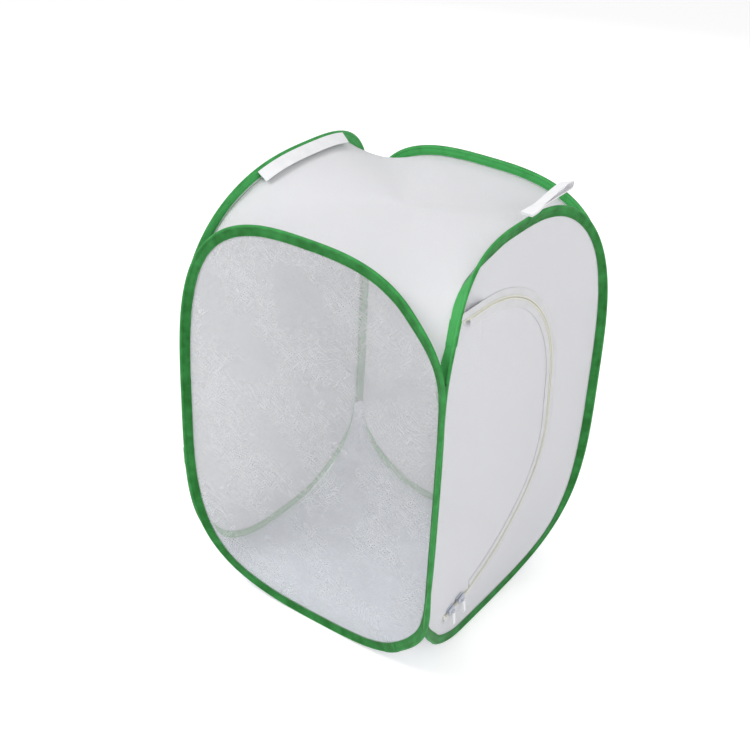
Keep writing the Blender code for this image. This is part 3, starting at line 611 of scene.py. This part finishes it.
def addStitches(name, panel, reach, offset, body):
    # one stitch, copied along a line round the loop
    count = stitches["count"]
    spots = [station(panel, angleAt(panel, index / count), reach, offset) for index in range(count)]
    bpy.ops.curve.primitive_bezier_circle_add(radius=1)
    path = redrawn(bpy.context.object, spots, closed=True)
    bpy.ops.mesh.primitive_uv_sphere_add(segments=6, ring_count=4, radius=1)
    stitch = resized(name, stitches["size"])
    length = sum((spots[i] - spots[i - 1]).length for i in range(count))
    each = round(length / stitches["pitch"])
    copiedAlong(stitch, path, each, length / each)
    smooth(stitch, 60)
    return finish(stitch, threadAndSeamShade, body)


def wirePlace(panel, radius):
    def place(along, across):
        turn = 2 * math.pi * across
        angle = angleAt(panel, along)
        return station(panel, angle, radius * math.cos(turn), radius * math.sin(turn))

    return place


# where the tape's two ends lap, as shares of the way round
laps = {"window": (0.075, 0.092), "door": (0.605, 0.622), "back": (0.10, 0.117),
        "left": (0.185, 0.20)}

for seed, (name, panel) in enumerate(panels.items()):
    body = name + "_panel"
    place, rows = tapePlace(panel, seed=seed * 10)
    piece = grid(name + "Binding", binding["around"], rows, place,
                 (panel["length"], tape["width"]))
    thickened(piece, binding["thick"], use_even_offset=True)
    finish(piece, tapeGreen, body, name + "_binding")
    for face, sign in (("Inner", 1), ("Outer", -1)):
        lift = binding["leg"] + binding["thick"] / 2 + binding["stitchProud"]
        addStitches(name + "Stitch" + face, panel, binding["stitchReach"], sign * lift, body)
    place, rows = tapePlace(panel, *laps[name], outward=binding["lapOut"], seed=seed * 10)
    lap = grid(name + "Lap", 12, rows, place, (0.035, tape["width"]))
    thickened(lap, binding["thick"], use_even_offset=True)
    finish(lap, tapeGreen, body)
    wire = grid(name + "Wire", binding["around"], 10, wirePlace(panel, binding["wire"]))
    smooth(wire, 60)
    finish(wire, steel, body, name + "_wire")


seamStrip = {"over": 0.0012, "swell": 0.0006, "share": 0.62, "narrows": (0.28, 0.48),
             "thick": 0.0004}


def addSeam(name, first, second, body, low=-24, high=24, wide=0.0, material=threadAndSeamShade):
    # the strip that joins two neighbouring bindings, in the groove between their folds; by default
    # in dark thread green, painted shade in the groove
    def place(along, across):
        angle = math.radians(low + (high - low) * along)
        one = inCage(first, wirePoint(first, angle))
        two = inCage(second, wirePoint(second, math.pi - angle))
        middle = (one + two) / 2
        outward = Vector((middle.x, middle.y, 0)).normalized()
        gap = two - one
        over = seamStrip["over"] + seamStrip["swell"] * (1 - (2 * across - 1) ** 2)
        lowWide = wide * (1 - eased(along, seamStrip["narrows"]))
        reach = max(gap.length * seamStrip["share"], lowWide)
        return middle + outward * over + gap.normalized() * (across - 0.5) * reach

    piece = grid(name, 80, 6, place, (0.3, 0.004))
    thickened(piece, seamStrip["thick"])
    return finish(piece, material, body)


# the front, right and left seams in dark thread green are painted shade in their grooves
addSeam("frontSeam", panels["window"], panels["door"], "window_panel")
addSeam("rightSeam", panels["door"], panels["back"], "door_panel")
addSeam("farSeam", panels["back"], panels["left"], "back_panel", low=-34, wide=0.014,
        material=farGreen)
addSeam("leftSeam", panels["left"], panels["window"], "left_panel")
print("bindings, wires and corner seams made")


# the panels' own cloths, stretched over their leaning loops

clothing = {"tucked": 0.0033, "inner": 0.0133, "border": 0.97, "thick": 0.0005}
ripples = {"pull": 0.0022, "soft": 0.0018, "fine": 0.00035, "net": 0.0012, "door": 0.001,
           "flap": 0.0008}


def squareToLoop(s, t):
    # a point of the unit square as (share of the way out, share of the way round)
    a, b = 2 * s - 1, 2 * t - 1
    out = max(abs(a), abs(b))
    if out < 1e-9:
        return 0.0, 0.0
    a, b = a / out, b / out
    if b <= -1 + 1e-9:
        turn = a / 8
    elif a >= 1 - 1e-9:
        turn = (b + 1) / 8 + 1 / 8
    elif b >= 1 - 1e-9:
        turn = (1 - a) / 8 + 3 / 8
    else:
        turn = (1 - b) / 8 + 5 / 8
    return out, turn % 1


def panelMiddle(panel):
    lean = (panel["topLean"] + panel["bottomLean"]) / 4
    return Vector((0, lean, (wirePoint(panel, math.pi / 2 + 0.0001).z + cage["foot"]) / 2))


def rimAt(panel, angle, reach):
    toCloth, _ = sectionAxes(panel, angle)
    return wirePoint(panel, angle) + toCloth * reach


def stretchedPlace(panel, ripple=None):
    middle = panelMiddle(panel)
    inner, border = clothing["inner"], clothing["border"]

    def place(s, t):
        out, turn = squareToLoop(s, t)
        angle = angleAt(panel, turn)
        if out > border:
            part = (out - border) / (1 - border)
            spot = rimAt(panel, angle, inner + (clothing["tucked"] - inner) * part)
        else:
            share = out / border
            rim = rimAt(panel, angle, inner)
            spot = middle.lerp(rim, share)
            spot.y = middle.y * (1 - share ** 2) + rim.y * share ** 2
            if ripple:
                spot.y += ripple(spot.x, spot.z, share)
        return inCage(panel, spot)

    return place


def filmRipple(u, z, share):
    # shallow pulls that slant down to the front corner, and a gentle unevenness
    slanted = Vector((u * 7 + z * 3, (z + u * 0.45) * 34, 1.7))
    pulls = noise.noise(slanted) * eased(u, (-0.02, 0.15)) * ripples["pull"]
    soft = noise.noise(Vector((u * 11, z * 9, 5.5))) * ripples["soft"]
    fine = noise.noise(Vector((u * 55, z * 62, 9.1))) * ripples["fine"]
    return (pulls + soft + fine) * (1 - share ** 6)


def netRipple(u, z, share):
    return noise.noise(Vector((u * 8, z * 6, 2.2))) * ripples["net"] * (1 - share ** 6)


def addCloth(name, side, material, node, axes, ripple, count):
    piece = grid(name, count, count, stretchedPlace(panels[side], ripple))
    planarUv(piece, *axes)
    thickened(piece, clothing["thick"], 60)
    finish(piece, material, side + "_panel", node)


addCloth("windowFilm", "window", clearFilm, "window_film", (0, 2), filmRipple, 130)
addCloth("backNet", "back", sideNet, "back_net", (0, 2), netRipple, 72)
addCloth("leftNet", "left", sideNet, "left_net", (1, 2), netRipple, 72)
print("film and nets stretched")


# the zip's run on the door, its net and its flap

zipRunSizes = {
    "depth": 0.0213, "top": 0.526, "topRadius": 0.195, "slant": 4.7, "side": 0.1027,
    "cornerRadius": 0.1496, "cornerHeight": 0.2761, "cornerEnd": -46, "lowRadius": 0.3095,
    "start": -0.132, "flapEnd": -73.9, "end": -84,
    "netEdge": 0.0070, "face": 0.0008, "rowInner": 0.0009, "rowWidth": 0.0021, "rowOverlap": 0.0004,
    "tapeEdge": 0.0118, "tapeThick": 0.00045, "seam": 0.0060, "tail": 0.0200,
    "pitch": 0.0015, "tooth": (0.00085, 0.0031, 0.0022), "toothRound": 0.00032,
}


def heading(degrees):
    return Vector((math.cos(math.radians(degrees)), math.sin(math.radians(degrees))))


def zipCentres():
    z = zipRunSizes
    slant = heading(z["slant"])
    corner = Vector((z["side"] - z["cornerRadius"], z["cornerHeight"]))
    high = z["top"] - z["topRadius"]
    reach = slant.dot(corner) + z["cornerRadius"] - z["topRadius"]
    top = Vector(((reach - slant.y * high) / slant.x, high))
    low = corner + heading(z["cornerEnd"]) * (z["cornerRadius"] - z["lowRadius"])
    return top, corner, low


def zipRun(side, start=None, end=None, chord=0.006):
    # the zip's line moved sideways, as (y, z) points
    z = zipRunSizes
    top, corner, low = zipCentres()
    start = z["start"] if start is None else start
    end = z["end"] if end is None else end
    points = [Vector((start, z["top"] + side))]
    while points[-1].x < z["start"] - chord:
        points.append(points[-1] + Vector((chord, 0)))
    arcs = ((top, z["topRadius"], 90, z["slant"]),
            (corner, z["cornerRadius"], z["slant"], z["cornerEnd"]),
            (low, z["lowRadius"], z["cornerEnd"], end))
    for centre, radius, first, last in arcs:
        steps = math.ceil(math.radians(first - last) * radius / chord)
        for index in range(steps + 1):
            spot = centre + heading(first + (last - first) * index / steps) * (radius + side)
            if (spot - points[-1]).length > chord / 3:
                points.append(spot)
    return points


def onDoor(y, z, depth=None):
    return Vector((cage["half"] - (zipRunSizes["depth"] if depth is None else depth), y, z))


def onNet(y, z):
    # on the door's net, which rises to its band past the zip's start
    spot = onDoor(y, z, zipRunSizes["depth"] - zipRunSizes["face"])
    if y < zipRunSizes["start"]:
        hit, place, _, _ = doorNet.ray_cast((0.5, y, z), (-1, 0, 0))
        if hit:
            spot.x = max(spot.x, place.x + zipRunSizes["face"])
    return spot


def foldEnds():
    z = zipRunSizes
    low = zipCentres()[2] + heading(z["flapEnd"]) * z["lowRadius"]
    return Vector((z["start"], z["top"])), low


def flapOutline(side):
    # round the flap: the fold's top, the zip's line moved sideways, and the fold's low end
    top, low = foldEnds()
    along = (low - top).normalized()
    across = Vector((-along.y, along.x))
    run = zipRun(side, zipRunSizes["start"] - abs(side), zipRunSizes["flapEnd"] - 4)
    return [point for point in run if (point - top).dot(across) > 0]


def rayTo(outline, centre, direction):
    # how far from the centre the closed outline lies in a direction
    best = None
    for first, second in zip(outline, outline[1:] + outline[:1]):
        edge = second - first
        bottom = direction.x * edge.y - direction.y * edge.x
        if abs(bottom) < 1e-12:
            continue
        gap = first - centre
        distance = (gap.x * edge.y - gap.y * edge.x) / bottom
        part = (gap.x * direction.y - gap.y * direction.x) / bottom
        if distance > 0 and -1e-6 <= part <= 1 + 1e-6:
            best = distance if best is None else min(best, distance)
    return best


doorCentre = Vector((-0.015, 0.30))
doorCloth = {"border": 0.94, "flat": 0.0063, "climb": 1.15}
netHole = flapOutline(zipRunSizes["netEdge"])
flapEdge = flapOutline(-zipRunSizes["netEdge"])


def doorNetPlace(along, across):
    # across runs from the hole round the flap to the edge that the binding hides
    panel = panels["door"]
    angle = angleAt(panel, along)
    inner, border = clothing["inner"], doorCloth["border"]
    if across > border:
        part = (across - border) / (1 - border)
        return inCage(panel, rimAt(panel, angle, inner + (clothing["tucked"] - inner) * part))
    rim = inCage(panel, rimAt(panel, angle, inner))
    far = Vector((rim.y, rim.z))
    way = (far - doorCentre).normalized()
    near = doorCentre + way * rayTo(netHole, doorCentre, way)
    share = across / border
    flatShare = min(doorCloth["flat"] / max((far - near).length, 0.001), 0.5)
    spot = near.lerp(far, share)
    rise = max((share - flatShare) / (1 - flatShare), 0) ** doorCloth["climb"]
    flatX = cage["half"] - zipRunSizes["depth"]
    swell = noise.noise(Vector((spot.x * 9, spot.y * 7, 4.4))) * ripples["door"]
    x = flatX + (rim.x - flatX) * rise + swell * math.sin(math.pi * rise)
    return Vector((x, spot.x, spot.y))


doorNet = grid("doorNet", 300, 34, doorNetPlace)
planarUv(doorNet, 1, 2)
thickened(doorNet, clothing["thick"], 60)
finish(doorNet, sideNet, "door_panel", "door_net")


def flapPlace(along, across):
    way = heading(360 * along)
    reach = rayTo(flapEdge, doorCentre, way)
    spot = doorCentre + way * reach * across
    swell = noise.noise(Vector((spot.x * 9, spot.y * 7, 8.8))) * ripples["flap"] * (1 - across ** 4)
    return onDoor(spot.x, spot.y, zipRunSizes["depth"] + swell)


doorFlap = grid("doorFlap", 240, 24, flapPlace)
planarUv(doorFlap, 1, 2)
thickened(doorFlap, clothing["thick"], 60)
finish(doorFlap, sideNet, "flap", "door_flap")
print("door net and flap made")


def runLengths(points):
    lengths = [0.0]
    for first, second in zip(points, points[1:]):
        lengths.append(lengths[-1] + (second - first).length)
    return lengths


def alongRun(points, lengths, share):
    wanted = share * lengths[-1]
    index = 0
    while index < len(lengths) - 2 and lengths[index + 1] < wanted:
        index += 1
    part = (wanted - lengths[index]) / (lengths[index + 1] - lengths[index])
    return points[index].lerp(points[index + 1], part)


def addZipTape(name, side, start, end, body, node):
    inner, outer = zipRunSizes["rowInner"] + zipRunSizes["rowWidth"] * 0.7, zipRunSizes["tapeEdge"]
    near = zipRun(side * inner, start, end)
    far = zipRun(side * outer, start, end)
    nearLengths, farLengths = runLengths(near), runLengths(far)

    def place(along, across):
        first = alongRun(near, nearLengths, along)
        second = alongRun(far, farLengths, along)
        spot = first.lerp(second, across)
        lift = 0.0001 * math.sin(along * 900) * across
        return onNet(spot.x, spot.y) - Vector((lift, 0, 0))

    piece = grid(name, 260, 6, place, (nearLengths[-1], outer - inner))
    thickened(piece, zipRunSizes["tapeThick"])
    return finish(piece, zipTape, body, node)


def addTeeth(name, side, start, end, body, node):
    # one coil turn, copied along its row
    z = zipRunSizes
    points = zipRun(side * (z["rowInner"] + z["rowWidth"] / 2 - z["rowOverlap"]), start, end)
    bpy.ops.curve.primitive_bezier_curve_add()
    path = redrawn(bpy.context.object, [onNet(*point) for point in points], closed=False)
    path.data.twist_mode = "Z_UP"
    bpy.ops.mesh.primitive_cube_add(size=1)
    tooth = resized(name, z["tooth"])
    applied(tooth, "BEVEL", width=z["toothRound"], segments=2)
    length = runLengths(points)[-1]
    count = int(length / z["pitch"])
    copiedAlong(tooth, path, count, length / count, start=length / count / 2)
    smooth(tooth, 45)
    return finish(tooth, zipChain, body, node)


flapStart = zipRunSizes["start"] + zipRunSizes["seam"]
flapStop = zipRunSizes["flapEnd"] + math.degrees(zipRunSizes["seam"] / zipRunSizes["lowRadius"])
outerStart = zipRunSizes["start"] - zipRunSizes["tail"]
addZipTape("zipTapeOuter", 1, outerStart, None, "door_panel", "zip_tape_outer")
addZipTape("zipTapeInner", -1, flapStart, flapStop, "flap", "zip_tape_inner")
addTeeth("zipTeethOuter", 1, outerStart, None, "door_panel", "zip_teeth_outer")
addTeeth("zipTeethInner", -1, flapStart, flapStop, "flap", "zip_teeth_inner")
plainLooks = {
    "zip_slider_low": sliderGrey, "zip_slider_high": sliderGrey,
    "pull_tab_low": pullWhite, "pull_tab_high": pullWhite,
    "zip_stop_low": zipChain, "zip_stop_top": zipChain,
    **{name + "_sleeve": steel for name in panels},
}
for node, material in plainLooks.items():
    nodes[node].data.materials.clear()
    nodes[node].data.materials.append(material)
print("zip made")


# roof net and floor cloth, in four gores that fold with their panels

gores = {
    "keep": 0.15, "deep": 0.01, "share": 0.92, "half": 0.5, "rimFill": 1.5, "narrowest": 0.01,
    "calm": 0.12, "calming": {"factor": 0.5, "repeat": 30}, "weld": 0.00002,
    "rim": (0.0108, 0.0013), "near": 0.0014, "farTip": ((-0.19, 0.19, 0.112), (-0.5, 0.5, 0.707)),
    "roof": (0.0106, 0.0012), "floor": (0.0004, 0.0027),
}


def rimMoves(name):
    # where the frame's cloth meets each band, and where it meets the band as dressed
    moves = []
    for panel in panels.values():
        plain = dict(panel, seam=None, spreadSide=0)
        for index in range(360 // cage["cadStep"]):
            angle = -math.pi / 2 + math.radians(cage["cadStep"]) * (index + 0.5)
            for shifted in (0, math.radians(cage["cadStep"]) / 2):
                start = station(plain, angle + shifted, *gores["rim"])
                free = 1 - abs(acrossAndUp(angle + shifted)[0]) ** 6
                shift = station(panel, angle + shifted, *gores[name]) - start
                moves.append((start, shift * free))
    return moves


def smoothedCloth(name, node):
    # a smoothed copy of the frame's cloth, its rim drawn to the bands as dressed
    mesh = nodes[node].data.copy()
    whole = placed(name + "Whole", mesh)
    pick(whole)
    if mesh.has_custom_normals:
        bpy.ops.mesh.customdata_custom_splitnormals_clear()
    weld(whole, gores["weld"], normals=False)
    moves = rimMoves(name)
    moved = 0
    for vertex in mesh.vertices:
        start, shift = min(moves, key=lambda move: (move[0] - vertex.co).length_squared)
        if (start - vertex.co).length < gores["near"]:
            vertex.co += shift
            moved += 1
    print(whole.name, "rim points moved:", moved, "of", len(mesh.vertices))
    pick(whole)
    bpy.ops.object.mode_set(mode="EDIT")
    bpy.ops.mesh.select_all(action="SELECT")
    bpy.ops.mesh.tris_convert_to_quads()
    bpy.ops.object.mode_set(mode="OBJECT")
    applied(whole, "SUBSURF", levels=2, render_levels=2)
    pick(whole)
    bpy.ops.object.mode_set(mode="EDIT")
    bpy.ops.mesh.select_all(action="DESELECT")
    bpy.ops.object.mode_set(mode="OBJECT")
    for vertex in whole.data.vertices:
        vertex.select = Vector((vertex.co.x, vertex.co.y)).length < gores["calm"]
    bpy.ops.object.mode_set(mode="EDIT")
    bpy.ops.mesh.vertices_smooth(**gores["calming"])
    bpy.ops.object.mode_set(mode="OBJECT")
    return whole


def cutGore(whole, title, cuts):
    # the part of the cloth behind each cut, shaded as the whole is
    near = KDTree(len(whole.data.vertices))
    leaning = [vertex.normal.copy() for vertex in whole.data.vertices]
    for vertex in whole.data.vertices:
        near.insert(vertex.co, vertex.index)
    near.balance()
    piece = placed(title, whole.data.copy())
    pick(piece)
    bpy.ops.object.mode_set(mode="EDIT")
    for spot, normal in cuts:
        bpy.ops.mesh.select_all(action="SELECT")
        bpy.ops.mesh.bisect(plane_co=spot, plane_no=normal, clear_outer=True, use_fill=True)
    bpy.ops.object.mode_set(mode="OBJECT")
    planarUv(piece, 0, 1)
    bpy.ops.object.shade_smooth()
    soft = []
    for vertex in piece.data.vertices:
        mixed = vertex.normal * 0.001
        for _, index, distance in near.find_n(vertex.co, 8):
            if leaning[index].dot(vertex.normal) > 0:
                mixed += leaning[index] / (distance + 0.00001)
        soft.append(mixed.normalized())
    piece.data.normals_split_custom_set_from_vertices(soft)
    return piece


def addGores(name, node, material, leaning):
    # four gores cut along the diagonals, each riding its panel
    whole = smoothedCloth(name, node)
    for side, panel in panels.items():
        turned = Matrix.Rotation(math.radians(panel["turn"]), 3, "Z")
        outward = turned @ Vector((0, -1, 0))
        diagonals = [((0, 0, 0), -(Matrix.Rotation(math.radians(turn), 3, "Z") @ outward))
                     for turn in (45, -45)]
        deep = panel[leaning] > gores["deep"]
        anchor = inCage(panel, Vector((0, panel[leaning] * gores["share" if deep else "half"], 0)))
        diagonals += [gores["farTip"]] * (name == "floor")
        piece = cutGore(whole, name + side.capitalize(), diagonals + [(anchor, outward)] * deep)
        finish(piece, material, side + "_panel", *((node,) if side == "window" else ()))
        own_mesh(piece)
        if deep:
            rim = cutGore(whole, name + side.capitalize() + "Rim", diagonals + [(anchor, -outward)])
            finish(rim, material, side + "_panel")
    bpy.data.objects.remove(whole)


addGores("roof", "roof_net", roofNet, "topLean")
addGores("floor", "floor_cloth", floorCloth, "bottomLean")
print("roof and floor made")


# carry handles

handles = {
    "width": 0.016, "thick": 0.0013, "leftStart": -0.079, "leftEnd": 0.092, "leftTilt": 50,
    "doorStart": 0.012, "doorSewn": 0.020, "doorClimb": 0.016, "doorOpen": 0.100,
    "doorTip": 0.122, "doorBow": 0.005, "doorRise": 0.0050, "doorTilt": 20, "doorOverhang": 0.004,
    "onBinding": 0.00254, "ply": 0.0014, "gap": 0.0003,
}


def angleAcross(u):
    across = u / (cage["half"] - cage["cornerShift"])
    return math.acos(signedPower(across, cage["widthPower"] / 2))


def leftHandlePlace(along, across):
    panel = panels["left"]
    u = handles["leftStart"] + (handles["leftEnd"] - handles["leftStart"]) * along
    tilt = math.radians(handles["leftTilt"])
    near = handles["onBinding"] + handles["gap"] / 2 + handles["thick"] / 2 * math.cos(tilt)
    reach = math.cos(tilt) * handles["width"] * across
    offset = near + math.sin(tilt) * handles["width"] * across
    return station(panel, angleAcross(u), reach, offset)


leftHandle = grid("leftHandle", 60, 6, leftHandlePlace, (0.171, handles["width"]))
thickened(leftHandle, handles["thick"])
finish(leftHandle, webbing, "left_panel", "left_handle")


def doorHandleRun():
    h = handles
    panel = panels["door"]
    wire = wirePoint(panel, angleAcross(h["doorStart"]))
    sewn = wire.z + h["onBinding"] + h["gap"] + h["ply"] / 2
    low = wirePoint(panel, math.pi / 2 + 0.0001).z + h["doorRise"]
    stacked = h["ply"] + h["gap"]
    bow = h["doorTip"] - h["doorBow"]
    sewnEnd = h["doorStart"] + h["doorSewn"]
    freeStart = sewnEnd + h["doorClimb"]
    upper = [(u, sewn + stacked, 0.0) for u in (h["doorStart"], sewnEnd)]
    lower = [(u, sewn, 0.0) for u in (h["doorStart"], sewnEnd)]
    for index in range(5):
        share = index / 4
        u = freeStart + (h["doorOpen"] - freeStart) * share
        upper.append((u, low + stacked + (2 * h["doorBow"] - stacked) * share, 1.0))
        lower.append((u, low, 1.0))
    for index in range(5):
        turn = math.pi * index / 4
        upper.append((bow + h["doorBow"] * math.sin(turn),
                      low + h["doorBow"] * (1 + math.cos(turn)), 1.0))
    return wire.y, upper + lower[::-1]


doorMiddle, doorRun = doorHandleRun()


def doorHandlePlace(along, across):
    index = round(along * (len(doorRun) - 1))
    u, z, free = doorRun[index]
    tilt = math.radians(handles["doorTilt"]) * free
    outer = Vector((u, doorMiddle - handles["doorOverhang"] * (1 - free), z))
    width = Vector((0, math.cos(tilt), -math.sin(tilt))) * handles["width"] * across
    return inCage(panels["door"], outer + width)


doorHandle = grid("doorHandle", len(doorRun) - 1, 4, doorHandlePlace, (0.23, handles["width"]))
applied(doorHandle, "SUBSURF", levels=2, render_levels=2, boundary_smooth="PRESERVE_CORNERS")
thickened(doorHandle, handles["thick"])
finish(doorHandle, webbing, "door_panel", "door_handle")
print("handles made")


# floor, light and camera

studio = {
    "floor": (0.80, 0.80, 0.80), "floorSize": 14, "floorDrop": 0.0004, "glow": 0.40, "sky": 0.60,
    "key": 40.0, "fill": 28.0, "back": 12.0,
}


def onlySeen(tree, strength):
    # what the camera, mirrors and glass see of it is white; its light on the cage stays low
    path = add(tree, "ShaderNodeLightPath").outputs
    seen = mathNode(tree, "MAXIMUM", path["Is Camera Ray"], path["Is Glossy Ray"])
    seen = mathNode(tree, "MAXIMUM", seen, path["Is Transmission Ray"])
    return mathNode(tree, "MULTIPLY_ADD", seen, strength[1] - strength[0], strength[0])


bpy.ops.mesh.primitive_plane_add(size=studio["floorSize"],
                                 location=(0, 0, -studio["floorDrop"]))
ground = bpy.context.object
ground.name = "ground"
groundMaterial, tree = makeMaterial("ground", studio["floor"], roughness=0.9,
                                    Emission_Color=(1, 1, 1, 1))[:2]
feed(tree, onlySeen(tree, (0.0, studio["glow"])), "Emission Strength")
ground.data.materials.append(groundMaterial)

world = bpy.data.worlds.new("studio")
world.use_nodes = True
bpy.context.scene.world = world
sky = world.node_tree.nodes["Background"]
sky.inputs["Color"].default_value = (1, 1, 1, 1)
skySeen = onlySeen(world.node_tree, (studio["sky"], 1.0))
world.node_tree.links.new(skySeen, sky.inputs["Strength"])


def addLamp(name, place, target, size, power):
    lamp = bpy.data.lights.new(name, "AREA")
    lamp.shape = "SQUARE"
    lamp.size = size
    lamp.energy = power
    holder = placed(name, lamp)
    holder.location = place
    holder.rotation_euler = (Vector(target) - Vector(place)).to_track_quat("-Z", "Y").to_euler()


addLamp("keyLamp", (-1.2, -1.6, 2.4), (0, 0, 0.3), 1.0, studio["key"])
addLamp("fillLamp", (2.2, -1.0, 1.6), (0, 0, 0.3), 1.8, studio["fill"])
addLamp("backLamp", (-0.9, 2.3, 1.5), (0, 0, 0.3), 1.8, studio["back"])

view = {
    "around": 34.838, "above": 30.79, "roll": 2.446, "focal": 1270.916,
    "centre": (366.991, 374.422), "distance": 1.7085, "aside": -0.03816, "height": 0.32294,
    "frame": 750, "sensor": 36, "clip": 0.05,
}
around, above, roll = (math.radians(view[key]) for key in ("around", "above", "roll"))
backward = Vector((math.sin(around) * math.cos(above), -math.cos(around) * math.cos(above),
                   math.sin(above)))
right = (-backward).cross(Vector((0, 0, 1))).normalized()
upward = right.cross(-backward)
target = right * view["aside"] + Vector((0, 0, view["height"]))
rolledRight = right * math.cos(roll) + upward * math.sin(roll)
rolledUp = -right * math.sin(roll) + upward * math.cos(roll)
camera = placed("camera", bpy.data.cameras.new("camera"))
stand = Matrix((rolledRight, rolledUp, backward)).transposed().to_4x4()
stand.translation = target + backward * view["distance"]
camera.matrix_world = stand
camera.data.sensor_width = view["sensor"]
camera.data.lens = view["focal"] * view["sensor"] / view["frame"]
camera.data.shift_x = (view["frame"] / 2 - view["centre"][0]) / view["frame"]
camera.data.shift_y = (view["centre"][1] - view["frame"] / 2) / view["frame"]
camera.data.clip_start = view["clip"]
bpy.context.scene.camera = camera
bpy.context.scene.view_settings.view_transform = "Standard"
print("studio made")
